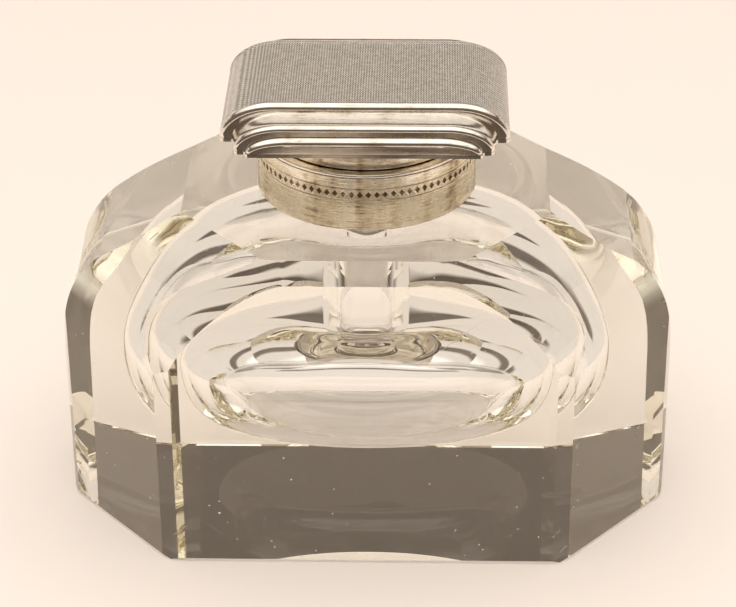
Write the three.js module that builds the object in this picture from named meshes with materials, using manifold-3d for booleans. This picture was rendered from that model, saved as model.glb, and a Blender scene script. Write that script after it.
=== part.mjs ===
// A desk inkwell: a heavy cut-glass block with a silver collar and a hinged, stepped silver lid.
// Millimetres, +Z up, +Y to the back (the hinge side). The origin is the centre of the base.

import * as THREE from 'three';
import { mergeVertices } from 'three/addons/utils/BufferGeometryUtils.js';
import Module from 'manifold-3d';

const wasm = await Module();
wasm.setup();

// Driving dimensions of the glass block
const BLOCK_WIDTH = 150;
const BLOCK_DEPTH = 89;
const TABLE_HEIGHT = 83; // the flat top that the collar stands on
const CANT = { width: 26.7, depth: 30.1 }; // the cut-off corners, along X and along Y
// A shoulder leaves its face upright at the foot. Rise, run and fall are how far its curve is
// drawn straight up from the foot, and outwards and downwards from the table's edge.
const SIDE_SHOULDER = { foot: 41, rise: 30, inset: 30.5, run: 18, fall: 11 };
const CANT_SHOULDER = { foot: 48, rise: 19, inset: 21, run: 19, fall: 12 };
// The front face is an arch with a bevel along its edge.
const ARCH = { halfWidth: 48.6, foot: 44, top: TABLE_HEIGHT - 5, flatHalf: 18, run: 7, rise: 18 };
const ARCH_BEVEL_DEPTH = 3.2; // how far back the bevel reaches at the table
const BASE_BEVEL = 0.9;
const FRONT_EDGE_FLAT = 4.4; // width of the narrow facet between front and cant
const SIDE_EDGE_FLAT = 3; // width of the facet between cant and side

// Ink cavity and neck
const CAVITY = { halfWidth: 46, depthShare: 0.72, floor: 27.2, floorCorner: 8, waist: 40.5, roof: 55.5 };
const BORE_RADIUS = 10.6;
const NECK_RADIUS = 24;

// Silver collar and its top plate
const COLLAR_RADIUS = 26.6;
const COLLAR_TOP = TABLE_HEIGHT + 14.6;
const SHEET = 0.9;
const MOUTH_RADIUS = 12.5;

// Lid
const LID_BASE = COLLAR_TOP + 4.8;
const LID_TOP = LID_BASE + 9.55;
const BEZEL_RADIUS = 24.3;
const PLATE = 0.8; // base plate of the lid
const BARREL = { halfWidth: 34.1, top: LID_TOP, corner: 8.4, reach: 17.3 };
const LEDGE = { halfWidth: 30.3, top: LID_TOP - 2.6, corner: 5.9, reach: 25.6 };
const FACE = { halfWidth: 27.5, top: LID_TOP - 5.05, corner: 3.5, reach: 27.3 };
const CORNER_RUN = 0.37; // width of a step's elliptical corner, as a share of the step's half width
const BEAD_DEPTH = 1.55;

// Hinge
const HINGE = {
  y: COLLAR_RADIUS + 2.1,
  z: COLLAR_TOP + 0.3,
  knuckleRadius: 1.6,
  pinRadius: 0.7,
  bore: 0.8,
  knuckles: 5,
  pitch: 3.7,
};
const RUNNING_GAP = 0.2; // between parts that move past each other
const SOLDER_GAP = 0.05; // between flat faces that are soldered together
const CURVED_GAP = 0.3; // between curved faces, which are made of flats

const SILVER = { color: 0xbdb8ad, metalness: 1, roughness: 0.22 };
const SILVER_ENGINE_TURNED = { color: 0xa9a498, metalness: 1, roughness: 0.42 };
const GLASS = { color: 0xe9ecdf, metalness: 0, roughness: 0.02, transparent: true, opacity: 0.4 };
const PLASTER = { color: 0xd9d2c3, metalness: 0, roughness: 0.95 };
const LEATHER = { color: 0x4a3626, metalness: 0, roughness: 0.8 };

const inkwell = new THREE.Group();
inkwell.name = 'inkwell';

// ---- shared geometry helpers ----

/** Merges a geometry's vertices and turns its faces outwards. */
function closed(geometry) {
  const bare = geometry.clone();
  for (const name of Object.keys(bare.attributes)) {
    if (name !== 'position') bare.deleteAttribute(name);
  }
  const merged = dropFlatTriangles(mergeVertices(bare, 1e-4));
  if (signedVolume(merged) < 0) {
    const index = merged.index.array;
    for (let i = 0; i < index.length; i += 3) {
      [index[i + 1], index[i + 2]] = [index[i + 2], index[i + 1]];
    }
  }
  return merged;
}

/** Removes the triangles that merging has folded onto a line, as at a lathe's axis. */
function dropFlatTriangles(geometry) {
  const kept = [];
  const index = geometry.index.array;
  for (let i = 0; i < index.length; i += 3) {
    const [a, b, c] = index.slice(i, i + 3);
    if (a !== b && b !== c && a !== c) kept.push(a, b, c);
  }
  geometry.setIndex(kept);
  return geometry;
}

function signedVolume(geometry) {
  const at = (i) => new THREE.Vector3().fromBufferAttribute(geometry.attributes.position, i);
  const index = geometry.index.array;
  let six = 0;
  for (let i = 0; i < index.length; i += 3) {
    six += at(index[i]).dot(at(index[i + 1]).cross(at(index[i + 2])));
  }
  return six / 6;
}

function solid(geometry) {
  const ready = closed(geometry);
  return new wasm.Manifold(new wasm.Mesh({
    numProp: 3,
    vertProperties: new Float32Array(ready.attributes.position.array),
    triVerts: new Uint32Array(ready.index.array),
  }));
}

function geometryOf(manifold) {
  const mesh = manifold.getMesh();
  const geometry = new THREE.BufferGeometry();
  geometry.setAttribute('position', new THREE.BufferAttribute(mesh.vertProperties, 3));
  geometry.setIndex(new THREE.BufferAttribute(mesh.triVerts, 1));
  return geometry;
}

function add(name, geometry, look) {
  const ready = closed(geometry);
  ready.computeVertexNormals();
  const mesh = new THREE.Mesh(ready, new THREE.MeshStandardMaterial(look));
  mesh.name = name;
  inkwell.add(mesh);
}

/** Turns a closed outline of [radius, height] points about the Z axis. */
function turned(outline, segments = 64) {
  const points = outline.map(([radius, height]) => new THREE.Vector2(radius, height));
  return new THREE.LatheGeometry(points, segments).rotateX(Math.PI / 2);
}

function ring(inner, outer, low, high, segments = 64) {
  return turned([[inner, low], [outer, low], [outer, high], [inner, high], [inner, low]], segments);
}

function disc(radius, low, high) {
  return turned([[0, low], [radius, low], [radius, high], [0, high]]);
}

function shapeOf(points) {
  return new THREE.Shape(points.map(([x, y]) => new THREE.Vector2(x, y)));
}

/** Points along a circular arc, angles in degrees. */
function arc(centreX, centreY, radius, from, to, steps) {
  return Array.from({ length: steps + 1 }, (_, i) => {
    const angle = THREE.MathUtils.degToRad(from + ((to - from) * i) / steps);
    return [centreX + radius * Math.cos(angle), centreY + radius * Math.sin(angle)];
  });
}

/** Joins rings of [x, y, z] points into a closed body. The flat outline has the end rings' shape. */
function skin(rings, flatOutline = rings[0].map(([x, , z]) => new THREE.Vector2(x, z))) {
  if (THREE.ShapeUtils.isClockWise(flatOutline)) {
    return skin(rings.map((points) => [...points].reverse()), [...flatOutline].reverse());
  }
  const count = rings[0].length;
  const index = [];
  for (let i = 0; i + 1 < rings.length; i += 1) {
    for (let j = 0; j < count; j += 1) {
      const a = i * count + j;
      const b = i * count + ((j + 1) % count);
      index.push(a, b, a + count, b, b + count, a + count);
    }
  }
  const last = (rings.length - 1) * count;
  for (const [a, b, c] of THREE.ShapeUtils.triangulateShape(flatOutline, [])) {
    index.push(a, c, b, last + a, last + b, last + c);
  }
  const geometry = new THREE.BufferGeometry();
  geometry.setAttribute('position', new THREE.Float32BufferAttribute(rings.flat(2), 3));
  geometry.setIndex(index);
  return geometry;
}

// ---- glass block ----

/** The curve of a shoulder from its foot in to the table, as [distance, height] points. */
function shoulderCurve(faceDistance, { foot, rise, inset, run, fall }) {
  const edge = faceDistance - inset;
  return new THREE.CubicBezierCurve(
    new THREE.Vector2(faceDistance, foot),
    new THREE.Vector2(faceDistance, foot + rise),
    new THREE.Vector2(edge + run, TABLE_HEIGHT - fall),
    new THREE.Vector2(edge, TABLE_HEIGHT),
  ).getPoints(16).map(({ x, y }) => [x, y]);
}

/** A long bar with the given half outline on both sides, turned about Z so one side faces the angle. */
function bar(halfOutline, angle) {
  const mirrored = halfOutline.map(([x, z]) => [-x, z]).reverse();
  const length = 2 * BLOCK_WIDTH;
  const geometry = new THREE.ExtrudeGeometry(shapeOf([...halfOutline, ...mirrored]), {
    depth: length,
    bevelEnabled: false,
  });
  geometry.translate(0, 0, -length / 2).rotateX(Math.PI / 2).rotateZ(angle);
  return solid(geometry);
}

function shoulderedBar(faceDistance, shoulder, angle) {
  return bar([
    [faceDistance - BASE_BEVEL, 0],
    [faceDistance, BASE_BEVEL],
    ...shoulderCurve(faceDistance, shoulder),
  ], angle);
}

/** What the bevel along the front arch leaves: the arch, spreading evenly towards the back. */
function bevelledArch() {
  const { halfWidth, foot, top, flatHalf, run, rise } = ARCH;
  const curve = new THREE.CubicBezierCurve(
    new THREE.Vector2(flatHalf, top),
    new THREE.Vector2(flatHalf + run, top),
    new THREE.Vector2(halfWidth, foot + rise),
    new THREE.Vector2(halfWidth, foot),
  );
  const steps = Array.from({ length: 13 }, (_, i) => i / 12);
  const halfDepth = BLOCK_DEPTH / 2;
  const slope = (TABLE_HEIGHT - top) / ARCH_BEVEL_DEPTH;
  const archAt = (y) => {
    const spread = slope * (y + halfDepth);
    const right = steps.map((t) => {
      const point = curve.getPoint(t);
      const along = curve.getTangent(t);
      return [point.x - spread * along.y, y, point.y + spread * along.x];
    });
    right.push([right[right.length - 1][0], y, -BLOCK_WIDTH]);
    return [...right, ...right.map(([x, _, z]) => [-x, y, z]).reverse()];
  };
  return solid(skin([archAt(-halfDepth - 1), archAt(halfDepth + 1)]));
}

function glassBlock() {
  const halfWidth = BLOCK_WIDTH / 2;
  const halfDepth = BLOCK_DEPTH / 2;
  const cantAngle = Math.atan2(CANT.width, CANT.depth); // from X to the cant's outward normal
  const sideCorner = new THREE.Vector2(halfWidth, halfDepth - CANT.depth);
  const frontCorner = new THREE.Vector2(halfWidth - CANT.width, halfDepth);
  const cantDistance = alongNormal(sideCorner, cantAngle);

  let block = shoulderedBar(halfWidth, SIDE_SHOULDER, 0);
  block = block.intersect(bar([
    [halfDepth - BASE_BEVEL, 0],
    [halfDepth, BASE_BEVEL],
    [halfDepth, TABLE_HEIGHT],
  ], Math.PI / 2));
  block = block.intersect(bevelledArch()).intersect(bevelledArch().rotate([0, 0, 180]));
  for (const hand of [1, -1]) {
    block = block.intersect(shoulderedBar(cantDistance, CANT_SHOULDER, hand * cantAngle));
    block = block.intersect(edgeFlat(frontCorner, cantAngle, Math.PI / 2, FRONT_EDGE_FLAT, hand));
    block = block.intersect(edgeFlat(sideCorner, 0, cantAngle, SIDE_EDGE_FLAT, hand));
  }
  const neck = solid(turned([[0, TABLE_HEIGHT - 2], [NECK_RADIUS, TABLE_HEIGHT - 2],
    [NECK_RADIUS, neckTop - 0.6], [NECK_RADIUS - 0.6, neckTop], [0, neckTop]]));
  return geometryOf(block.add(neck).subtract(solid(inkCavity())));
}

function alongNormal(point, angle) {
  return point.x * Math.cos(angle) + point.y * Math.sin(angle);
}

/** A vertical bar that cuts a narrow facet of the given width where two faces meet. */
function edgeFlat(corner, angleA, angleB, width, hand) {
  const middle = (angleA + angleB) / 2;
  const depth = (width / 2) * Math.tan(Math.abs(angleB - angleA) / 2);
  const distance = alongNormal(corner, middle) - depth;
  return bar([[distance, -1], [distance, TABLE_HEIGHT + 1]], hand * middle);
}

const neckTop = COLLAR_TOP - SHEET - 0.4;

/** The hollow for ink: round at the bore, growing into a wide oval below. */
function inkCavity() {
  const { halfWidth, floor, floorCorner, waist, roof } = CAVITY;
  const floorRadius = halfWidth - floorCorner;
  const outline = [
    [0, floor],
    ...ellipseArc(floorRadius, waist, floorCorner, waist - floor, -90, 0, 9),
    ...ellipseArc(BORE_RADIUS, waist, halfWidth - BORE_RADIUS, roof - waist, 0, 90, 12).slice(1),
    [BORE_RADIUS, neckTop - 1],
    [BORE_RADIUS + 2, neckTop + 1],
    [0, neckTop + 1],
  ];
  const geometry = turned(outline, 56);
  const position = geometry.attributes.position;
  for (let i = 0; i < position.count; i += 1) {
    const radius = Math.hypot(position.getX(i), position.getY(i));
    const blend = THREE.MathUtils.smoothstep(radius, BORE_RADIUS + 2, halfWidth * 0.6);
    position.setY(i, position.getY(i) * THREE.MathUtils.lerp(1, CAVITY.depthShare, blend));
  }
  return geometry;
}

function ellipseArc(centreX, centreY, radiusX, radiusY, from, to, steps) {
  return arc(0, 0, 1, from, to, steps).map(([x, y]) => [centreX + radiusX * x, centreY + radiusY * y]);
}

// ---- collar ----

function addCollar() {
  const inside = COLLAR_RADIUS - SHEET;
  const bandTop = COLLAR_TOP - SHEET - SOLDER_GAP;
  add('collar_band', ring(inside, COLLAR_RADIUS, TABLE_HEIGHT + SOLDER_GAP, bandTop), SILVER);
  add('collar_top_plate', ring(MOUTH_RADIUS, COLLAR_RADIUS, COLLAR_TOP - SHEET, COLLAR_TOP), SILVER);
  add('collar_bedding',
    ring(NECK_RADIUS + CURVED_GAP, inside - CURVED_GAP, TABLE_HEIGHT + SOLDER_GAP, neckTop - 0.6),
    PLASTER);
}

// ---- lid ----

/** The arch of one lid step seen from the front: up one end, over and down the other. */
function archPath(step, base) {
  const { halfWidth, top, corner } = step;
  const run = CORNER_RUN * halfWidth;
  const right = ellipseArc(halfWidth - run, top - corner, run, corner, 0, 90, 10);
  const half = [[halfWidth, base], ...right];
  const directions = [[1, 0], ...arc(0, 0, 1, 0, 90, 10)];
  const points = half.map(([x, z], i) => ({ x, z, nx: directions[i][0], nz: directions[i][1] }));
  const left = points.map((p) => ({ ...p, x: -p.x, nx: -p.nx })).reverse();
  return [...points, ...left];
}

/** Carries a closed section of [outward, y] points along the arch of a step. */
function sweptAlongArch(step, base, section) {
  const outline = section.map(([outward, y]) => new THREE.Vector2(outward, y));
  return skin(archPath(step, base).map((p) => (
    outline.map((q) => [p.x + q.x * p.nx, q.y, p.z + q.x * p.nz]))), outline);
}

/** The same section for the front (side -1) or the back (side 1) of the lid. */
function onSide(section, side) {
  return section.map(([outward, y]) => [outward, side * y]);
}

function addLidShells() {
  const base = LID_BASE + PLATE + SOLDER_GAP;
  add('lid_barrel', sweptAlongArch(BARREL, base, [
    [0, -BARREL.reach], [0, BARREL.reach], [-SHEET, BARREL.reach], [-SHEET, -BARREL.reach],
  ]), SILVER_ENGINE_TURNED);

  const beadStart = BARREL.reach + SOLDER_GAP;
  const beadEnd = beadStart + BEAD_DEPTH;
  const bead = [[-4.6, beadStart], [0, beadStart], ...arc(-BEAD_DEPTH, beadStart, BEAD_DEPTH, 0, 90, 5).slice(1),
    [-4.6, beadEnd]];
  const ledgeStart = beadEnd + SOLDER_GAP;
  const ledge = [[-SHEET, ledgeStart], [0, ledgeStart], [0, LEDGE.reach - 1.2],
    ...arc(-1.2, LEDGE.reach - 1.2, 1.2, 0, 90, 4).slice(1), [-3.8, LEDGE.reach],
    [-3.8, LEDGE.reach - SHEET], [-SHEET, LEDGE.reach - SHEET]];
  for (const [side, place] of [[-1, 'front'], [1, 'back']]) {
    add(`lid_${place}_bead`, sweptAlongArch(BARREL, base, onSide(bead, side)), SILVER);
    add(`lid_${place}_ledge`, sweptAlongArch(LEDGE, base, onSide(ledge, side)), SILVER);
    add(`lid_${place}_face`, facePlate(base, side), SILVER);
  }
}

/** The end wall of the lid: the smallest arch, closed to its base. */
function facePlate(base, side) {
  const start = LEDGE.reach + SOLDER_GAP;
  const outline = archPath(FACE, base).map(({ x, z }) => [x, z]);
  const geometry = new THREE.ExtrudeGeometry(shapeOf(outline), {
    depth: FACE.reach - start,
    bevelEnabled: false,
  });
  geometry.translate(0, 0, start).rotateX(Math.PI / 2);
  return side < 0 ? geometry : geometry.rotateZ(Math.PI);
}

/** The lid's floor, following the three steps in plan. */
function basePlate() {
  const barrelReach = BARREL.reach + SOLDER_GAP + BEAD_DEPTH;
  const quarter = [
    [BARREL.halfWidth, barrelReach],
    [LEDGE.halfWidth, barrelReach],
    [LEDGE.halfWidth, LEDGE.reach],
    [FACE.halfWidth, LEDGE.reach],
    [FACE.halfWidth, FACE.reach],
  ];
  const half = [...quarter, ...quarter.map(([x, y]) => [-x, y]).reverse()];
  const whole = [...half, ...half.map(([x, y]) => [-x, -y])];
  const geometry = new THREE.ExtrudeGeometry(shapeOf(whole), { depth: PLATE, bevelEnabled: false });
  return geometry.translate(0, 0, LID_BASE);
}

function addLidUnderside() {
  const bezelLow = COLLAR_TOP + RUNNING_GAP;
  const bezelHigh = LID_BASE - SOLDER_GAP;
  const padTop = bezelLow + 2.2;
  add('lid_base_plate', basePlate(), SILVER);
  add('lid_bezel', ring(BEZEL_RADIUS - SHEET, BEZEL_RADIUS, bezelLow, bezelHigh), SILVER);
  add('seal_pad', disc(MOUTH_RADIUS + 4, bezelLow, padTop), LEATHER);
  add('seal_pad_holder', turned([
    [0, padTop + SOLDER_GAP], [MOUTH_RADIUS + 5, padTop + SOLDER_GAP],
    [MOUTH_RADIUS + 5, padTop + SHEET], [4, padTop + SHEET],
    [4, bezelHigh], [0, bezelHigh],
  ]), SILVER);
}

// ---- hinge ----

/** A tube or rod along X with its middle at the given x on the hinge's axis. */
function onHinge(geometry, x) {
  return geometry.rotateY(Math.PI / 2).translate(x, HINGE.y, HINGE.z);
}

function addHinge() {
  const names = ['hinge_knuckle_left', 'lid_knuckle_left', 'hinge_knuckle_centre',
    'lid_knuckle_right', 'hinge_knuckle_right'];
  const halfLength = (HINGE.pitch - RUNNING_GAP) / 2;
  names.forEach((name, i) => {
    const x = (i - (HINGE.knuckles - 1) / 2) * HINGE.pitch;
    add(name, onHinge(ring(HINGE.bore, HINGE.knuckleRadius, -halfLength, halfLength, 24), x), SILVER);
  });
  const halfPin = (HINGE.knuckles * HINGE.pitch) / 2 + 0.2;
  const pin = new THREE.CylinderGeometry(HINGE.pinRadius, HINGE.pinRadius, 2 * halfPin, 24);
  add('hinge_pin', onHinge(pin.rotateX(Math.PI / 2), 0), SILVER);
  add('hinge_collar_bearer', bearer(COLLAR_RADIUS, HINGE.z - 6.5, HINGE.z - HINGE.knuckleRadius - 0.15), SILVER);
  add('hinge_lid_bearer', bearer(BEZEL_RADIUS, HINGE.z + HINGE.knuckleRadius + 0.15, LID_BASE - SOLDER_GAP),
    SILVER);
}

/** A strip behind the knuckles, hollowed to fit the round wall that it is soldered to. */
function bearer(wallRadius, low, high) {
  const halfLength = (HINGE.knuckles * HINGE.pitch) / 2;
  const back = HINGE.y + 0.9;
  const depth = back - wallRadius + 4;
  const block = new THREE.BoxGeometry(2 * halfLength, depth, high - low);
  block.translate(0, back - depth / 2, (low + high) / 2);
  const wall = solid(disc(wallRadius + CURVED_GAP, low - 1, high + 1));
  return geometryOf(solid(block).subtract(wall));
}

add('glass_block', glassBlock(), GLASS);
addCollar();
addLidShells();
addLidUnderside();
addHinge();

export default inkwell;
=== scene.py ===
"""The looks of a desk inkwell: a canted glass block, a silver collar and a stepped, hinged silver lid.

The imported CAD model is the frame. Lengths named here are in millimetres, and MM turns them to metres.
"""

import math

import bmesh
import bpy
from mathutils import Matrix, Vector, noise


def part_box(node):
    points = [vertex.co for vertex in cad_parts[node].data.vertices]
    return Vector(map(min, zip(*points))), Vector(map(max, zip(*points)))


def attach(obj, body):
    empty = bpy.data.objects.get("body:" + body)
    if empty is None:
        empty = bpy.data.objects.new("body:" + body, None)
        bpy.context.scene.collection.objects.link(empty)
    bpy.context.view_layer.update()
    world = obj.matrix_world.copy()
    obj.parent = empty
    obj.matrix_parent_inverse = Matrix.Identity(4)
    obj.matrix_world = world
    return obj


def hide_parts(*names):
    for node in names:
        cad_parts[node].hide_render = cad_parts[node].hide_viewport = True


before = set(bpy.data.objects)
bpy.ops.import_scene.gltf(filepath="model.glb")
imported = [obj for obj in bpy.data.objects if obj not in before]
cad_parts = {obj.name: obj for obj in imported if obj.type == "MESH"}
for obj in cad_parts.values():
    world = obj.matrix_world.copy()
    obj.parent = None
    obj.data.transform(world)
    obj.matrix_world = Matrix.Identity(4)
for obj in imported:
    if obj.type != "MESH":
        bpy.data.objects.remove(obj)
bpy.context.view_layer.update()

MM = 0.001

# Places and sizes taken from the frame


def low(node, axis):
    """The lowest coordinate of a CAD node along x, y or z, in millimetres."""
    return getattr(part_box(node)[0], axis) / MM


def high(node, axis):
    """The highest coordinate of a CAD node along x, y or z, in millimetres."""
    return getattr(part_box(node)[1], axis) / MM


def low_radius(node):
    """The smallest distance of a CAD node's points from the Z axis, in millimetres."""
    return min(math.hypot(v.co.x, v.co.y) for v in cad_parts[node].data.vertices) / MM


HALF_WIDTH = high("glass_block", "x")
HALF_DEPTH = high("glass_block", "y")
NECK_TOP = high("glass_block", "z")
TABLE = low("collar_band", "z") - 0.05  # the flat top of the glass, under the solder gap
COLLAR_RADIUS = high("collar_band", "x")
COLLAR_TOP = high("collar_top_plate", "z")
SHEET = COLLAR_TOP - low("collar_top_plate", "z")

# The cut glass
CANT_WIDTH = 26.7
CANT_DEPTH = 30.1
SIDE_SHOULDER = {"foot": 41.0, "rise": 30.0, "inset": 30.5, "run": 18.0, "fall": 11.0}
CANT_SHOULDER = {"foot": 48.0, "rise": 19.0, "inset": 21.0, "run": 19.0, "fall": 12.0}
ARCH = {"half_width": 48.6, "foot": 44.0, "top": TABLE - 5.0, "flat_half": 18.0, "run": 7.0, "rise": 18.0}
ARCH_BEVEL_DEPTH = 3.2
BASE_BEVEL = 0.9
FRONT_EDGE_FLAT = 4.4
SIDE_EDGE_FLAT = 3.0
CURVE_STEPS = 40
SHARP_ANGLE = 7.0  # degrees between two facets of the glass, above which the edge stays crisp

# The ink cavity and the neck
CAVITY = {"half_width": 46.0, "depth_share": 0.72, "floor": 27.2, "floor_corner": 8.0, "waist": 40.5,
          "roof": 55.5}
BORE_RADIUS = 10.6
BORE_CHAMFER = 1.0
NECK_RADIUS = 24.0
NECK_CHAMFER = 0.6
OVAL_START = 2.0  # how far outside the bore the cavity begins to turn oval
OVAL_SHARE = 0.6  # of the cavity's half width, from where it is fully oval
WAVER = 0.25  # how far the cavity's moulded wall wanders
WAVER_LENGTH = 14.0  # and over what distance
AROUND = 192  # points round a turned shape

# The camera looks down at the front from 3 degrees off the centre line
CAMERA = {"yaw": -1.577, "elevation": 30.053, "roll": -0.41, "distance": 637.25, "target_height": 47.86}
LENS = 124.0

NOISE_PLACE = Vector((3.1, 7.7, 1.3))  # moves the waver of the glass off the noise's own lattice


# ---- mesh helpers ----


def add_piece(name, bm, body, material, nodes, smooth_angle=35.0):
    """Makes an object of a mesh in millimetres, and lets it stand for the CAD nodes it replaces."""
    bmesh.ops.recalc_face_normals(bm, faces=bm.faces[:])
    for face in bm.faces:
        face.smooth = True
    for edge in bm.edges:
        if len(edge.link_faces) == 2 and edge.calc_face_angle(0) > math.radians(smooth_angle):
            edge.smooth = False
    mesh = bpy.data.meshes.new(name)
    bm.to_mesh(mesh)
    bm.free()
    mesh.transform(Matrix.Scale(MM, 4))
    piece = bpy.data.objects.new(name, mesh)
    bpy.context.scene.collection.objects.link(piece)
    mesh.materials.append(material)
    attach(piece, body)
    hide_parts(*nodes)
    return piece


def rounded(outline, radius, steps=4):
    """The closed outline of (a, b) points with each corner turned into a small curve."""
    curved = []
    count = len(outline)
    for i, corner in enumerate(outline):
        corner = Vector(corner)
        before = Vector(outline[i - 1]) - corner
        after = Vector(outline[(i + 1) % count]) - corner
        reach = min(radius, before.length * 0.45, after.length * 0.45)
        start = corner + before.normalized() * reach
        end = corner + after.normalized() * reach
        for step in range(steps + 1):
            t = step / steps
            curved.append(start * (1 - t) ** 2 + corner * 2 * t * (1 - t) + end * t**2)
    return curved


def arc(centre, radius, start, end, steps):
    """Points along a circular arc, with the angles in degrees."""
    points = []
    for step in range(steps + 1):
        angle = math.radians(start + (end - start) * step / steps)
        points.append((centre[0] + radius * math.cos(angle), centre[1] + radius * math.sin(angle)))
    return points


def bezier(points, t):
    """A point on a cubic curve."""
    a, b, c, d = (Vector(p) for p in points)
    return a * (1 - t) ** 3 + b * 3 * (1 - t) ** 2 * t + c * 3 * (1 - t) * t**2 + d * t**3


def skin(rings, closed=False):
    """A mesh over rings of points. It is closed into a loop, or has a face at each end."""
    bm = bmesh.new()
    loops = [[bm.verts.new(point) for point in ring] for ring in rings]
    pairs = list(zip(loops, loops[1:]))
    if closed:
        pairs.append((loops[-1], loops[0]))
    for one, two in pairs:
        for i in range(len(one)):
            j = (i + 1) % len(one)
            bm.faces.new((one[i], one[j], two[j], two[i]))
    if not closed:
        bm.faces.new(loops[0])
        bm.faces.new(loops[-1])
    return bm


def turned(outline, segments=AROUND):
    """Turns a closed outline of (radius, height) points about the Z axis."""
    rings = []
    for step in range(segments):
        angle = 2 * math.pi * step / segments
        rings.append([(r * math.cos(angle), r * math.sin(angle), z) for r, z in outline])
    return skin(rings, closed=True)


def turned_solid(outline, segments=AROUND):
    """Turns an outline that starts and ends on the Z axis into a solid, with no edge left along the axis."""
    bm = turned(outline, segments)
    bmesh.ops.remove_doubles(bm, verts=bm.verts[:], dist=1e-5)
    loose = [edge for edge in bm.edges if not edge.link_faces]
    bmesh.ops.delete(bm, geom=loose, context="EDGES")
    return bm


# ---- glass block ----


def shoulder_curve(face_distance, shoulder):
    """The curve of a shoulder from its foot in to the table, as (distance, height) points."""
    edge = face_distance - shoulder["inset"]
    handles = [
        (face_distance, shoulder["foot"]),
        (face_distance, shoulder["foot"] + shoulder["rise"]),
        (edge + shoulder["run"], TABLE - shoulder["fall"]),
        (edge, TABLE),
    ]
    return [bezier(handles, step / CURVE_STEPS) for step in range(CURVE_STEPS + 1)]


def cuts_along(outline, angle):
    """The planes, as (point, normal), through an outline on both sides of a bar turned to the angle."""
    outward = Vector((math.cos(angle), math.sin(angle), 0))
    planes = []
    for (distance, z), (next_distance, next_z) in zip(outline, outline[1:]):
        normal = Vector((next_z - z, distance - next_distance)).normalized()
        for side in (1, -1):
            point = side * distance * outward + Vector((0, 0, z))
            planes.append((point, side * normal.x * outward + Vector((0, 0, normal.y))))
    return planes


def shouldered_cuts(face_distance, shoulder, angle):
    """The planes of an upright face, with the bevel at its foot and the shoulder above it."""
    base = [(face_distance - BASE_BEVEL, 0), (face_distance, BASE_BEVEL)]
    return cuts_along(base + [tuple(p) for p in shoulder_curve(face_distance, shoulder)], angle)


def edge_flat_cuts(corner, angle_a, angle_b, width, hand):
    """The planes of the narrow facet where two upright faces meet."""
    middle = (angle_a + angle_b) / 2
    depth = width / 2 * math.tan(abs(angle_b - angle_a) / 2)
    distance = along_normal(corner, middle) - depth
    return cuts_along([(distance, 0), (distance, TABLE)], hand * middle)


def along_normal(point, angle):
    """How far out a point of the plan lies in the direction of the angle."""
    return point[0] * math.cos(angle) + point[1] * math.sin(angle)


def arch_bevel_cuts():
    """The planes of the bevel that runs along the arch of the front and the back face."""
    handles = [
        (ARCH["flat_half"], ARCH["top"]),
        (ARCH["flat_half"] + ARCH["run"], ARCH["top"]),
        (ARCH["half_width"], ARCH["foot"] + ARCH["rise"]),
        (ARCH["half_width"], ARCH["foot"]),
    ]
    slope = (TABLE - ARCH["top"]) / ARCH_BEVEL_DEPTH
    planes = []
    for step in range(CURVE_STEPS + 1):
        t = step / CURVE_STEPS
        point = bezier(handles, t)
        along = bezier(handles, t + 0.001) - bezier(handles, t - 0.001)
        along.normalize()
        for side in (1, -1):
            for front in (1, -1):
                normal = Vector((-along.y * side, slope * front, along.x))
                planes.append((Vector((point.x * side, HALF_DEPTH * front, point.y)), normal.normalized()))
    return planes


def glass_cuts():
    """Every plane that cuts the glass block to shape."""
    cant_angle = math.atan2(CANT_WIDTH, CANT_DEPTH)
    side_corner = (HALF_WIDTH, HALF_DEPTH - CANT_DEPTH)
    front_corner = (HALF_WIDTH - CANT_WIDTH, HALF_DEPTH)
    cant_distance = along_normal(side_corner, cant_angle)
    planes = shouldered_cuts(HALF_WIDTH, SIDE_SHOULDER, 0)
    planes += cuts_along([(HALF_DEPTH - BASE_BEVEL, 0), (HALF_DEPTH, BASE_BEVEL), (HALF_DEPTH, TABLE)],
                         math.pi / 2)
    planes += arch_bevel_cuts()
    for hand in (1, -1):
        planes += shouldered_cuts(cant_distance, CANT_SHOULDER, hand * cant_angle)
        planes += edge_flat_cuts(front_corner, cant_angle, math.pi / 2, FRONT_EDGE_FLAT, hand)
        planes += edge_flat_cuts(side_corner, 0, cant_angle, SIDE_EDGE_FLAT, hand)
    return planes


def cut_block():
    """The outside of the glass: a box with every facet cut from it."""
    bm = bmesh.new()
    bmesh.ops.create_cube(bm, size=1)
    for vert in bm.verts:
        vert.co.x *= 3 * HALF_WIDTH
        vert.co.y *= 3 * HALF_DEPTH
        vert.co.z = (vert.co.z + 0.5) * TABLE
    for point, normal in glass_cuts():
        everything = bm.verts[:] + bm.edges[:] + bm.faces[:]
        cut = bmesh.ops.bisect_plane(bm, geom=everything, plane_co=point, plane_no=normal,
                                     clear_outer=True, dist=1e-5)
        rim = [item for item in cut["geom_cut"] if isinstance(item, bmesh.types.BMEdge)]
        if len(rim) > 2:
            bmesh.ops.contextual_create(bm, geom=rim)
    return bm


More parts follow.
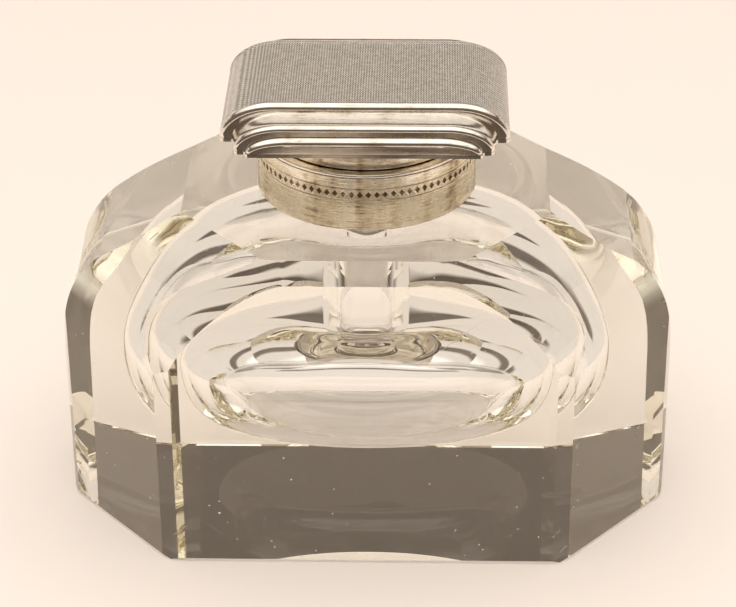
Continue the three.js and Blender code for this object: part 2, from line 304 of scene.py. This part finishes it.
def inside_profile():
    """From the foot of the neck over its top and down through the bore to the cavity's floor."""
    floor_radius = CAVITY["half_width"] - CAVITY["floor_corner"]
    profile = [
        (NECK_RADIUS, TABLE),
        (NECK_RADIUS, NECK_TOP - NECK_CHAMFER),
        (NECK_RADIUS - NECK_CHAMFER, NECK_TOP),
        (BORE_RADIUS + BORE_CHAMFER, NECK_TOP),
        (BORE_RADIUS, NECK_TOP - BORE_CHAMFER),
    ]
    roof_width = CAVITY["half_width"] - BORE_RADIUS
    roof_height = CAVITY["roof"] - CAVITY["waist"]
    for x, z in arc((0, 0), 1, 90, 0, 48):
        profile.append((BORE_RADIUS + roof_width * x, CAVITY["waist"] + roof_height * z))
    wall_height = CAVITY["waist"] - CAVITY["floor"]
    for x, z in arc((0, 0), 1, 0, -90, 40)[1:]:
        profile.append((floor_radius + CAVITY["floor_corner"] * x, CAVITY["waist"] + wall_height * z))
    profile += [(floor_radius * (1 - step / 10), CAVITY["floor"]) for step in range(1, 11)]
    return profile


def cavity_point(radius, z, angle):
    """A point inside the glass: round at the bore, squeezed into an oval in the cavity, hand-finished."""
    fully_oval = CAVITY["half_width"] * OVAL_SHARE
    t = (radius - BORE_RADIUS - OVAL_START) / (fully_oval - BORE_RADIUS - OVAL_START)
    t = min(max(t, 0), 1)
    oval = t * t * (3 - 2 * t)
    squeeze = 1 if z > TABLE - 1 else 1 + (CAVITY["depth_share"] - 1) * oval
    point = Vector((radius * math.cos(angle), squeeze * radius * math.sin(angle), z))
    waver = WAVER * oval * noise.noise(point / WAVER_LENGTH + NOISE_PLACE)
    return point + Vector((math.cos(angle), math.sin(angle), 0.6)) * waver


def hollow(bm):
    """Opens the table and lines the block with the neck, the bore and the cavity."""
    table = max(bm.faces, key=lambda face: face.calc_center_median().z)
    outer_rim = list(table.edges)
    bm.faces.remove(table)
    angles = [2 * math.pi * step / AROUND for step in range(AROUND)]
    rings = []
    for radius, z in inside_profile():
        if radius < 1e-6:
            rings.append([bm.verts.new((0, 0, z))] * AROUND)
        else:
            rings.append([bm.verts.new(cavity_point(radius, z, angle)) for angle in angles])
    for one, two in zip(rings, rings[1:]):
        for i in range(AROUND):
            j = (i + 1) % AROUND
            corners = dict.fromkeys((one[i], one[j], two[j], two[i]))
            bm.faces.new(list(corners))
    inner_rim = [bm.edges.get((rings[0][i], rings[0][(i + 1) % AROUND])) for i in range(AROUND)]
    bmesh.ops.triangle_fill(bm, use_beauty=True, use_dissolve=False, edges=outer_rim + inner_rim)


def add_glass(material):
    """The block with its neck, bore and cavity, as one closed skin."""
    bm = cut_block()
    hollow(bm)
    glass = add_piece("cut_glass", bm, "base", material, ["glass_block"], SHARP_ANGLE)
    even_facets = glass.modifiers.new("even_facets", "WEIGHTED_NORMAL")
    even_facets.keep_sharp = True
    even_facets.weight = 100
    glass.visible_shadow = False
    return glass


# ---- collar ----

BORDER_BELOW_TOP = 5.2  # of the middle of the collar's engraved border
BORDER_HALF_HEIGHT = 1.05
BORDER_DEPTH = 0.26
LOZENGES = 84
LOZENGE_REACH = 0.42  # of a lozenge to each side, as a share of its place in the row
POINTS_PER_LOZENGE = 12
LINE_OFFSET = 1.5  # of the fine lines above and below the lozenges
LINE_HALF_WIDTH = 0.16


def engraving(angle, height):
    """Depth of the collar's border: a row of small lozenges between two fine lines."""
    offset = height - (COLLAR_TOP - BORDER_BELOW_TOP)
    cell = (angle / (2 * math.pi) * LOZENGES) % 1 - 0.5
    lozenge = max(0, 1 - abs(cell) / LOZENGE_REACH - abs(offset) / BORDER_HALF_HEIGHT)
    line = max(0, 1 - abs(abs(offset) - LINE_OFFSET) / LINE_HALF_WIDTH)
    return BORDER_DEPTH * (min(1, 1.8 * lozenge) + 0.5 * line)


def add_collar_band(material):
    """The upright band, with rows of points close enough for the engraved border."""
    bottom = low("collar_band", "z")
    top = high("collar_band", "z")
    middle = COLLAR_TOP - BORDER_BELOW_TOP
    rows = [middle + 0.1 * step for step in range(-18, 19)]
    outside = [(COLLAR_RADIUS - 0.35, bottom), (COLLAR_RADIUS - 0.1, bottom + 0.08),
               (COLLAR_RADIUS, bottom + 0.35), (COLLAR_RADIUS, middle - 2.4)]
    outside += [(COLLAR_RADIUS, z) for z in rows]
    outside += [(COLLAR_RADIUS, middle + 2.1), (COLLAR_RADIUS, top)]
    inside = [(COLLAR_RADIUS - SHEET, top), (COLLAR_RADIUS - SHEET, bottom)]
    segments = LOZENGES * POINTS_PER_LOZENGE
    rings = []
    for step in range(segments):
        angle = 2 * math.pi * step / segments
        ring = []
        for radius, z in outside + inside:
            depth = engraving(angle, z) if radius == COLLAR_RADIUS else 0
            ring.append(((radius - depth) * math.cos(angle), (radius - depth) * math.sin(angle), z))
        rings.append(ring)
    return add_piece("collar_engraved_band", skin(rings, closed=True), "base", material,
                     ["collar_band"], 60)


def box_ring(node, inner_radius, edge):
    """A flat ring that fills a round CAD node, with softened edges."""
    outer = high(node, "x")
    bottom = low(node, "z")
    top = high(node, "z")
    return rounded([(inner_radius, bottom), (outer, bottom), (outer, top), (inner_radius, top)], edge)


def add_collar(silver, browned_silver, plaster):
    """The engraved band, the flat plate round the mouth and the plaster that they are bedded on."""
    add_collar_band(browned_silver)
    mouth = low_radius("collar_top_plate")
    add_piece("collar_mouth_plate", turned(box_ring("collar_top_plate", mouth, 0.3)), "base",
              silver, ["collar_top_plate"])
    bedding_inner = low_radius("collar_bedding")
    add_piece("collar_plaster", turned(box_ring("collar_bedding", bedding_inner, 0.2)), "base",
              plaster, ["collar_bedding"])


# ---- lid ----

CORNER_SHARE = 0.965  # of a step's height that its elliptical corner takes up
CORNER_RUN = 0.37  # and of its half width
ARCH_STEPS = 28
SOLDER_GAP = 0.05  # between two neighbouring parts of the lid
BEAD_WALL = 4.6  # how far the beads reach in under the barrel
LEDGE_RISE = 0.8  # of the ledges towards the barrel
LEDGE_WALL = 3.8  # how far down the ledges' front edges reach
LEDGE_ROLL = 1.2  # radius of the rolled edge
FACE_SWELL = 0.1  # of the middle of the lid's end walls
PAD_EDGE = 0.8  # radius of the pad's lower edge
GROOVE_INSET = 4.0  # of the ring that the mouth has pressed into the pad, from the pad's rim
GROOVE_DEPTH = 0.25
HOLDER_PLATE = 0.85  # thickness of the disc that holds the pad
HOLDER_STEM = 4.0  # radius of the stem above that disc


def arch_path(node):
    """The arch of a lid step seen from the front, as (x, z, outward x, outward z)."""
    half_width = high(node, "x")
    top = high(node, "z")
    base = low(node, "z")
    corner = (top - base) * CORNER_SHARE
    run = half_width * CORNER_RUN
    right = [(half_width, base, 1.0, 0.0)]
    for outward_x, outward_z in arc((0, 0), 1, 0, 90, ARCH_STEPS):
        right.append((half_width - run + run * outward_x, top - corner + corner * outward_z,
                      outward_x, outward_z))
    left = [(-x, z, -outward_x, outward_z) for x, z, outward_x, outward_z in reversed(right)]
    across = right[-1][0]
    flat = [(across * (1 - 2 * step / 24), top, 0.0, 1.0) for step in range(1, 24)]
    return right + flat + left


def swept(node, section):
    """Carries a closed section of (outward, y) points along the arch of a lid step."""
    rings = []
    for x, z, outward_x, outward_z in arch_path(node):
        rings.append([(x + out * outward_x, y, z + out * outward_z) for out, y in section])
    return skin(rings)


def barrel_section():
    """The shell of the barrel: its engine-turned field lies a little below two plain borders."""
    reach = high("lid_barrel", "y")
    border = 0.9
    sink = 0.07
    return [
        (0, -reach), (0, -reach + border), (-sink, -reach + border + 0.08),
        (-sink, reach - border - 0.08), (0, reach - border), (0, reach), (-SHEET, reach), (-SHEET, -reach),
    ]


def bead_section():
    """The quarter-round bead at each end of the barrel."""
    start = high("lid_barrel", "y") + SOLDER_GAP
    end = high("lid_back_bead", "y")
    radius = end - start
    crown = arc((-radius, start), radius, 0, 90, 14)
    return [(-BEAD_WALL, start)] + crown + [(-BEAD_WALL, end)]


def ledge_section():
    """The step in front of the bead: it slopes down to a shallow trough behind its rolled edge."""
    start = high("lid_back_bead", "y") + SOLDER_GAP
    end = high("lid_back_ledge", "y")
    edge = end - LEDGE_ROLL
    width = edge - start
    handles = [(LEDGE_RISE, start), (0.3, start + 0.4 * width), (-0.28, start + 0.8 * width), (0, edge)]
    slope = [tuple(bezier(handles, step / 12)) for step in range(12)]
    nose = arc((-LEDGE_ROLL, edge), LEDGE_ROLL, 0, 90, 14)
    inside = [(-LEDGE_WALL, end), (-LEDGE_WALL, end - SHEET), (-SHEET, end - SHEET), (-SHEET, start)]
    return slope + nose + inside


def mirrored(section, side):
    """A section made for the back of the lid (side 1), or turned to its front (side -1)."""
    return [(out, side * y) for out, y in section]


def face_plate(node, side):
    """The end wall of the lid: the smallest arch, with a rolled edge and a slightly cushioned field."""
    near = high("lid_back_ledge", "y") + SOLDER_GAP
    far = high("lid_back_face", "y")
    roll = far - near - 0.1
    levels = [(0, near)]
    for across, along in arc((0, 0), roll, 0, 90, 15):
        levels.append((roll - across, far - roll + along))
    rings = []
    for inset, y in levels:
        rings.append([Vector((x - inset * outward_x, side * y, z - inset * outward_z))
                      for x, z, outward_x, outward_z in arch_path(node)])
    field = rings[-1]
    middle = Vector((0, side * far, (low(node, "z") + high(node, "z")) / 2))
    for step in range(1, 10):
        share = 1 - step / 10
        swell = Vector((0, side * FACE_SWELL * (1 - share**2), 0))
        rings.append([middle.lerp(point, share) + swell for point in field])
    return skin(rings)


def add_lid(silver, engine_turned):
    """The barrel over the middle, and a bead, a ledge and an end wall at the front and the back."""
    add_piece("lid_turned_barrel", swept("lid_barrel", barrel_section()), "lid",
              engine_turned, ["lid_barrel"])
    for side, place in ((-1, "front"), (1, "back")):
        bead = f"lid_{place}_bead"
        ledge = f"lid_{place}_ledge"
        face = f"lid_{place}_face"
        add_piece(f"{bead}_fine", swept(bead, mirrored(bead_section(), side)), "lid", silver,
                  [bead])
        add_piece(f"{ledge}_fine", swept(ledge, mirrored(ledge_section(), side)), "lid", silver,
                  [ledge])
        add_piece(f"{face}_fine", face_plate(face, side), "lid", silver, [face])


def add_lid_floor(silver):
    """The lid's flat floor: it follows the three steps in plan, with rounded corners."""
    quarter = [
        (high("lid_barrel", "x"), high("lid_back_bead", "y")),
        (high("lid_back_ledge", "x"), high("lid_back_bead", "y")),
        (high("lid_back_ledge", "x"), high("lid_back_ledge", "y")),
        (high("lid_back_face", "x"), high("lid_back_ledge", "y")),
        (high("lid_back_face", "x"), high("lid_back_face", "y")),
    ]
    half = quarter + [(-x, y) for x, y in reversed(quarter)]
    outline = rounded(half + [(-x, -y) for x, y in half], 1.5, 6)
    levels = (low("lid_base_plate", "z"), high("lid_base_plate", "z"))
    add_piece("lid_floor", skin([[(x, y, z) for x, y in outline] for z in levels]), "lid", silver,
              ["lid_base_plate"])


def add_lid_underside(silver, browned_silver, leather):
    """The round rim under the lid, and inside it the pad that closes the mouth and its holder."""
    bezel_inner = low_radius("lid_bezel")
    add_piece("lid_bezel_fine", turned(box_ring("lid_bezel", bezel_inner, 0.3)), "lid",
              browned_silver, ["lid_bezel"])
    radius = high("seal_pad", "x")
    bottom = low("seal_pad", "z")
    top = high("seal_pad", "z")
    groove = radius - GROOVE_INSET
    pad = [(0, bottom), (groove - 1, bottom), (groove, bottom + GROOVE_DEPTH), (groove + 1, bottom)]
    pad += arc((radius - PAD_EDGE, bottom + PAD_EDGE), PAD_EDGE, -90, 0, 8) + [(radius, top), (0, top)]
    add_piece("seal_leather", turned_solid(pad), "lid", leather, ["seal_pad"])
    holder_low = low("seal_pad_holder", "z")
    holder_top = high("seal_pad_holder", "z")
    holder_radius = high("seal_pad_holder", "x")
    plate_top = holder_low + HOLDER_PLATE
    cup = [(0, holder_low), (holder_radius - 0.2, holder_low), (holder_radius, holder_low + 0.2),
           (holder_radius - 0.2, plate_top), (HOLDER_STEM + 0.4, plate_top),
           (HOLDER_STEM, plate_top + 0.45), (HOLDER_STEM, holder_top), (0, holder_top)]
    add_piece("seal_holder", turned_solid(cup), "lid", silver, ["seal_pad_holder"])


# ---- hinge ----


def along_x(bm, node, turned_height):
    """Lays a turned piece along X at the middle of the CAD node it stands for."""
    lowest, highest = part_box(node)
    centre = (lowest + highest) / (2 * MM)
    lay = Matrix.Translation(centre) @ Matrix.Rotation(math.pi / 2, 4, "Y")
    bmesh.ops.transform(bm, matrix=lay @ Matrix.Translation((0, 0, -turned_height / 2)), verts=bm.verts[:])
    return bm


def add_knuckle(node, body, material):
    """A tube of the hinge, bored to half its radius."""
    length = high(node, "x") - low(node, "x")
    radius = (high(node, "z") - low(node, "z")) / 2
    outline = rounded([(radius / 2, 0), (radius, 0), (radius, length), (radius / 2, length)], 0.18)
    bm = along_x(turned(outline, 64), node, length)
    add_piece(f"{node}_fine", bm, body, material, [node])


def add_hinge(silver):
    """Three knuckles on the collar, two on the lid, and the pin through all five."""
    for place in ("left", "centre", "right"):
        add_knuckle(f"hinge_knuckle_{place}", "base", silver)
    for place in ("left", "right"):
        add_knuckle(f"lid_knuckle_{place}", "lid", silver)
    length = high("hinge_pin", "x") - low("hinge_pin", "x")
    radius = (high("hinge_pin", "z") - low("hinge_pin", "z")) / 2
    outline = [(0, 0)] + arc((radius - 0.25, 0.25), 0.25, -90, 0, 6)
    outline += arc((radius - 0.25, length - 0.25), 0.25, 0, 90, 6) + [(0, length)]
    pin = along_x(turned_solid(outline, 48), "hinge_pin", length)
    add_piece("hinge_pin_fine", pin, "base", silver, ["hinge_pin"])


def finish_cad_plates(silver):
    """The hinge's two strips keep their CAD shape, with softened edges and the silver's own finish."""
    for name in ("hinge_collar_bearer", "hinge_lid_bearer"):
        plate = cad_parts[name]
        plate.data.materials.clear()
        plate.data.materials.append(silver)
        weld = plate.modifiers.new("one_skin", "WELD")
        weld.merge_threshold = 0.001 * MM
        bevel = plate.modifiers.new("soft_edges", "BEVEL")
        bevel.width = 0.18 * MM
        bevel.segments = 3
        bevel.limit_method = "ANGLE"
        bevel.angle_limit = math.radians(40)


# ---- materials ----

RIB_PITCH = 0.62  # of the engine turning on the barrel


def new_material(name):
    """A material with its node tree and its Principled shader."""
    material = bpy.data.materials.new(name)
    material.use_nodes = True
    tree = material.node_tree
    return material, tree, tree.nodes["Principled BSDF"]


def add_node(tree, kind, **inputs):
    """A shader node. Each input is set to a value, or linked if it is another node's output."""
    node = tree.nodes.new(kind)
    for label, value in inputs.items():
        socket = node.inputs[label.replace("_", " ")]
        if isinstance(value, bpy.types.NodeSocket):
            tree.links.new(value, socket)
        else:
            socket.default_value = value
    return node


def math_node(tree, operation, first, second=0.0):
    """The result of one sum on two values or outputs."""
    node = tree.nodes.new("ShaderNodeMath")
    node.operation = operation
    for socket, value in zip(node.inputs, (first, second)):
        if isinstance(value, bpy.types.NodeSocket):
            tree.links.new(value, socket)
        else:
            socket.default_value = value
    return node.outputs[0]


def ramp(tree, factor, stops):
    """A colour ramp with (position, colour) stops."""
    node = tree.nodes.new("ShaderNodeValToRGB")
    tree.links.new(factor, node.inputs["Fac"])
    elements = node.color_ramp.elements
    while len(elements) < len(stops):
        elements.new(0.5)
    for element, (position, colour) in zip(elements, stops):
        element.position = position
        element.color = (*colour, 1)
    return node.outputs["Color"]


def blend(tree, value, span, first, second):
    """Goes from the first colour to the second while the value crosses the span."""
    mix = tree.nodes.new("ShaderNodeMix")
    mix.data_type = "RGBA"
    factor, _, _, _, _, _, colour_a, colour_b, *_ = mix.inputs
    tree.links.new(remap(tree, value, span), factor)
    tree.links.new(first, colour_a)
    tree.links.new(second, colour_b)
    return mix.outputs[2]


def object_position(tree):
    """The position on the piece, in metres."""
    return tree.nodes.new("ShaderNodeTexCoord").outputs["Object"]


def stretched(tree, vector, scale):
    """The position with each axis scaled, to draw a pattern out along one direction."""
    node = add_node(tree, "ShaderNodeMapping", Vector=vector)
    node.inputs["Scale"].default_value = scale
    return node.outputs[0]


def noise_of(tree, vector, scale, detail=4.0, roughness=0.55):
    """A cloudy pattern between 0 and 1."""
    node = add_node(tree, "ShaderNodeTexNoise", Vector=vector, Scale=scale, Detail=detail,
                    Roughness=roughness)
    return node.outputs[0]


def weighted(tree, *parts):
    """The sum of (value, weight) pairs."""
    total = None
    for value, weight in parts:
        term = math_node(tree, "MULTIPLY", value, weight)
        total = term if total is None else math_node(tree, "ADD", total, term)
    return total


def remap(tree, value, span, new_span=(0, 1)):
    """Carries a span of values over to a new one, and holds what lies outside at its ends."""
    node = add_node(tree, "ShaderNodeMapRange", Value=value)
    for label, number in zip(("From Min", "From Max", "To Min", "To Max"), (*span, *new_span)):
        node.inputs[label].default_value = number
    return node.outputs[0]


def set_bump(tree, shader, height, strength, distance):
    """Roughens the shader's surface by a pattern of heights."""
    bump = add_node(tree, "ShaderNodeBump", Height=height, Strength=strength, Distance=distance)
    tree.links.new(bump.outputs[0], shader.inputs["Normal"])


def glass_material():
    """Heavy cut glass: a faint warm grey in the thick parts, and a few fine scratches on its faces."""
    material, tree, shader = new_material("clear_glass")
    shader.inputs["Base Color"].default_value = (1, 1, 1, 1)
    shader.inputs["Transmission Weight"].default_value = 1
    shader.inputs["IOR"].default_value = 1.5
    here = object_position(tree)
    leaning = add_node(tree, "ShaderNodeMapping", Vector=here)
    leaning.inputs["Rotation"].default_value = (0, math.radians(40), 0)
    scratches = noise_of(tree, stretched(tree, leaning.outputs[0], (22, 400, 1500)), 1, 1)
    tree.links.new(remap(tree, scratches, (0.745, 0.8), (0, 0.35)), shader.inputs["Roughness"])
    absorb = add_node(tree, "ShaderNodeVolumeAbsorption")
    absorb.inputs["Color"].default_value = (0.88, 0.85, 0.74, 1)
    absorb.inputs["Density"].default_value = 7
    tree.links.new(absorb.outputs[0], tree.nodes["Material Output"].inputs["Volume"])
    return material


def silver_material():
    """Old polished silver: small pits, hairline scratches and warm tarnish in patches."""
    material, tree, shader = new_material("silver")
    shader.inputs["Metallic"].default_value = 1
    here = object_position(tree)
    patches = noise_of(tree, here, 150, 6, 0.65)
    streaks = noise_of(tree, stretched(tree, here, (120, 2400, 2400)), 1, 5, 0.65)
    both = weighted(tree, (patches, 0.5), (streaks, 0.5))
    colour = ramp(tree, both, [(0.36, (0.5, 0.42, 0.33)), (0.45, (0.78, 0.73, 0.65)),
                               (0.6, (0.92, 0.89, 0.84))])
    tree.links.new(colour, shader.inputs["Base Color"])
    tree.links.new(remap(tree, both, (0.35, 0.65), (0.2, 0.05)), shader.inputs["Roughness"])
    pits = noise_of(tree, here, 2600, 3)
    dents = noise_of(tree, here, 160, 2)
    set_bump(tree, shader, weighted(tree, (pits, 0.15), (dents, 1)), 0.25, 0.00012)
    return material


def browned_silver_material(name, surface_radius):
    """Silver of a round band, browned by handling: hairlines, spots, upright stains and tarnished cuts."""
    material, tree, shader = new_material(name)
    shader.inputs["Metallic"].default_value = 1
    here = object_position(tree)
    split = add_node(tree, "ShaderNodeSeparateXYZ", Vector=here)
    turn = math_node(tree, "ARCTAN2", split.outputs["X"], split.outputs["Y"])
    wrapped = add_node(tree, "ShaderNodeCombineXYZ", X=math_node(tree, "SINE", turn),
                       Y=math_node(tree, "COSINE", turn), Z=split.outputs["Z"])
    hairlines = noise_of(tree, stretched(tree, wrapped.outputs[0], (5, 5, 1900)), 1, 6, 0.7)
    stains = noise_of(tree, stretched(tree, wrapped.outputs[0], (4.2, 4.2, 12)), 1, 3, 0.5)
    spots = noise_of(tree, here, 620, 4, 0.7)
    wear = weighted(tree, (hairlines, 0.42), (stains, 0.42), (spots, 0.16))
    flat = add_node(tree, "ShaderNodeCombineXYZ", X=split.outputs["X"], Y=split.outputs["Y"])
    radius = add_node(tree, "ShaderNodeVectorMath", Vector=flat.outputs[0])
    radius.operation = "LENGTH"
    cut_depths = ((surface_radius - 0.12) * MM, (surface_radius - 0.03) * MM)
    tone = math_node(tree, "MULTIPLY", wear, remap(tree, radius.outputs["Value"], cut_depths, (0.72, 1)))
    colour = ramp(tree, tone, [(0.36, (0.15, 0.1, 0.06)), (0.41, (0.55, 0.44, 0.3)),
                               (0.47, (0.88, 0.78, 0.6)), (0.56, (0.98, 0.92, 0.79))])
    tree.links.new(colour, shader.inputs["Base Color"])
    tree.links.new(remap(tree, tone, (0.38, 0.6), (0.42, 0.16)), shader.inputs["Roughness"])
    set_bump(tree, shader, weighted(tree, (hairlines, 1), (spots, 0.6)), 0.3, 0.0001)
    return material


def engine_turned_material():
    """Silver cut by a lathe into fine ribs along Y, each broken into short waves."""
    material, tree, shader = new_material("engine_turned_silver")
    shader.inputs["Metallic"].default_value = 1
    split = add_node(tree, "ShaderNodeSeparateXYZ", Vector=object_position(tree))
    across = split.outputs["X"]
    along = split.outputs["Y"]
    up = split.outputs["Z"]
    turns_per_metre = 2 * math.pi / (RIB_PITCH * MM)
    arch = math_node(tree, "SUBTRACT", across, up)
    ribs = math_node(tree, "SINE", math_node(tree, "MULTIPLY", arch, turns_per_metre))
    waves = math_node(tree, "SINE", math_node(tree, "MULTIPLY", along, turns_per_metre * 0.6))
    checks = math_node(tree, "MULTIPLY", ribs, waves)
    pattern = weighted(tree, (ribs, 0.35), (checks, 0.75))
    shade = weighted(tree, (pattern, 0.25), (noise_of(tree, object_position(tree), 900, 4), 0.25))
    colour = ramp(tree, shade, [(0.0, (0.14, 0.13, 0.11)), (0.13, (0.6, 0.57, 0.51)),
                                (0.32, (1.0, 0.98, 0.93))])
    tree.links.new(colour, shader.inputs["Base Color"])
    shader.inputs["Roughness"].default_value = 0.34
    set_bump(tree, shader, pattern, 0.6, 0.00006)
    return material


def plaster_material():
    """Matt plaster with a fine grain."""
    material, tree, shader = new_material("plaster")
    here = object_position(tree)
    grain = noise_of(tree, here, 900, 6, 0.7)
    colour = ramp(tree, grain, [(0.3, (0.72, 0.67, 0.58)), (0.7, (0.9, 0.86, 0.78))])
    tree.links.new(colour, shader.inputs["Base Color"])
    shader.inputs["Roughness"].default_value = 0.95
    set_bump(tree, shader, grain, 0.6, 0.0002)
    return material


def leather_material():
    """A worn pad with a leather grain and stains, painted pale: painted light for the pad seen up the bore,
    where the closed lid leaves it in shade.
    """
    material, tree, shader = new_material("leather")
    here = object_position(tree)
    grain = add_node(tree, "ShaderNodeTexVoronoi", Vector=here, Scale=1400.0)
    stain = noise_of(tree, here, 130, 5)
    mixed = weighted(tree, (grain.outputs["Distance"], 0.5), (stain, 0.6))
    # These pale colours are painted light; the leather itself is darker and lies in shade under the closed
    # lid
    colour = ramp(tree, mixed, [(0.25, (0.34, 0.27, 0.19)), (0.7, (0.6, 0.51, 0.4))])
    tree.links.new(colour, shader.inputs["Base Color"])
    shader.inputs["Roughness"].default_value = 0.72
    set_bump(tree, shader, grain.outputs["Distance"], 0.5, 0.0002)
    return material


# ---- floor, light and camera ----


def flat_sheet(name, half_width, front, back, height, material):
    """A rectangle that lies flat in the studio, in metres."""
    bm = bmesh.new()
    corners = ((-half_width, front), (half_width, front), (half_width, back), (-half_width, back))
    bm.faces.new([bm.verts.new((x, y, height)) for x, y in corners])
    mesh = bpy.data.meshes.new(name)
    bm.to_mesh(mesh)
    bm.free()
    mesh.materials.append(material)
    sheet = bpy.data.objects.new(name, mesh)
    bpy.context.scene.collection.objects.link(sheet)
    return sheet


def add_floor():
    """A sheet of pale paper, a little darker towards the back: painted shade for the light falling off away
    from the lamp.
    """
    material, tree, shader = new_material("floor")
    grain = noise_of(tree, object_position(tree), 3, 3)
    near = ramp(tree, grain, [(0.3, (0.93, 0.85, 0.79)), (0.7, (0.95, 0.87, 0.81))])
    # far is the paper's colour with painted shade, blended in towards the back of the floor
    far = ramp(tree, grain, [(0.3, (0.82, 0.73, 0.68)), (0.7, (0.83, 0.74, 0.69))])
    depth = add_node(tree, "ShaderNodeSeparateXYZ", Vector=object_position(tree)).outputs["Y"]
    tree.links.new(blend(tree, depth, (0, 0.7), near, far), shader.inputs["Base Color"])
    shader.inputs["Roughness"].default_value = 0.9
    shader.inputs["Specular IOR Level"].default_value = 0.1
    flat_sheet("floor", 3, -3, 1.2, -0.0001, material)


def add_dark_card():
    """A dark sheet on the floor in front, beyond the picture: painted shade standing in for the shaded room
    in front. Only the silver's reflections show it.
    """
    material, tree, shader = new_material("dark_card")
    across = add_node(tree, "ShaderNodeSeparateXYZ", Vector=object_position(tree)).outputs["X"]
    share = remap(tree, across, (-0.05, 0.05))
    dark = (0.07, 0.05, 0.035)
    # The bands across X paint the shade reflected in the lid's end walls: dark ends, a lighter part to the
    # left and a dark middle
    colour = ramp(tree, share, [(0.1, dark), (0.2, (0.42, 0.36, 0.3)), (0.42, (0.3, 0.24, 0.18)),
                                (0.47, dark), (0.66, dark), (0.74, (0.26, 0.21, 0.16)), (0.88, dark)])
    tree.links.new(colour, shader.inputs["Base Color"])
    shader.inputs["Roughness"].default_value = 0.9
    card = flat_sheet("dark_card", 0.3, -0.5, -0.185, 0.0002, material)
    card.visible_camera = False
    card.visible_diffuse = False
    card.visible_shadow = False
    card.visible_transmission = False


def add_world():
    """A pale studio with a dark gap above the middle of its backdrop and a dark room behind the camera."""
    world = bpy.data.worlds.new("studio")
    bpy.context.scene.world = world
    world.use_nodes = True
    tree = world.node_tree
    split = add_node(tree, "ShaderNodeSeparateXYZ",
                     Vector=tree.nodes.new("ShaderNodeTexCoord").outputs["Generated"])
    cream = (0.86, 0.76, 0.67)
    ceiling = (1.5, 1.42, 1.3)
    dark = (0.13, 0.1, 0.078)
    dim = (0.19, 0.145, 0.105)
    room = (0.16, 0.12, 0.09)
    height = split.outputs["Z"]
    behind = ramp(tree, height, [(0.0, cream), (0.48, cream), (0.51, dark), (0.6, dark), (0.64, cream),
                                 (0.74, cream), (0.85, ceiling)])
    beside = ramp(tree, height, [(0.0, cream), (0.48, cream), (0.51, dim), (0.6, dim), (0.64, cream),
                                 (0.74, cream), (0.85, ceiling)])
    before = ramp(tree, height, [(0.0, room), (0.6, room), (0.8, ceiling)])
    sideways = math_node(tree, "ABSOLUTE", split.outputs["X"])
    back = blend(tree, sideways, (0.28, 0.42), behind, beside)
    everywhere = blend(tree, split.outputs["Y"], (-0.35, 0.05), before, back)
    tree.links.new(everywhere, tree.nodes["Background"].inputs["Color"])


def add_light():
    """One large soft lamp overhead. Neither the silver nor the glass shows it."""
    lamp = bpy.data.lights.new("overhead", "AREA")
    lamp.shape = "RECTANGLE"
    lamp.size = 2.4
    lamp.size_y = 2.4
    lamp.energy = 8
    overhead = bpy.data.objects.new("overhead", lamp)
    overhead.location = (0, -0.1, 1.3)
    overhead.visible_glossy = False
    overhead.visible_transmission = False
    bpy.context.scene.collection.objects.link(overhead)


def add_camera():
    """Looks down at the front of the inkwell, a little from one side."""
    yaw = math.radians(CAMERA["yaw"])
    elevation = math.radians(CAMERA["elevation"])
    forward = Vector((math.sin(yaw) * math.cos(elevation), math.cos(yaw) * math.cos(elevation),
                      -math.sin(elevation)))
    target = Vector((0, 0, CAMERA["target_height"] * MM))
    data = bpy.data.cameras.new("camera")
    data.lens = LENS
    data.sensor_width = 36
    data.clip_start = 0.01
    data.clip_end = 100
    camera = bpy.data.objects.new("camera", data)
    camera.location = target - forward * CAMERA["distance"] * MM
    turn = Matrix.Rotation(math.radians(-CAMERA["roll"]), 4, forward)
    camera.rotation_euler = (turn @ forward.to_track_quat("-Z", "Y").to_matrix().to_4x4()).to_euler()
    bpy.context.scene.collection.objects.link(camera)
    bpy.context.scene.camera = camera


def set_light_paths():
    """Lets light find its way out of the thick glass, and shows the colours unaltered."""
    scene = bpy.context.scene
    scene.view_settings.view_transform = "Standard"
    scene.cycles.max_bounces = 48
    scene.cycles.transmission_bounces = 48
    scene.cycles.glossy_bounces = 48


silver = silver_material()
collar_silver = browned_silver_material("collar_silver", COLLAR_RADIUS)
bezel_silver = browned_silver_material("bezel_silver", high("lid_bezel", "x"))
add_glass(glass_material())
add_collar(silver, collar_silver, plaster_material())
add_lid(silver, engine_turned_material())
add_lid_floor(silver)
add_lid_underside(silver, bezel_silver, leather_material())
add_hinge(silver)
finish_cad_plates(silver)
add_floor()
add_dark_card()
add_world()
add_light()
add_camera()
set_light_paths()
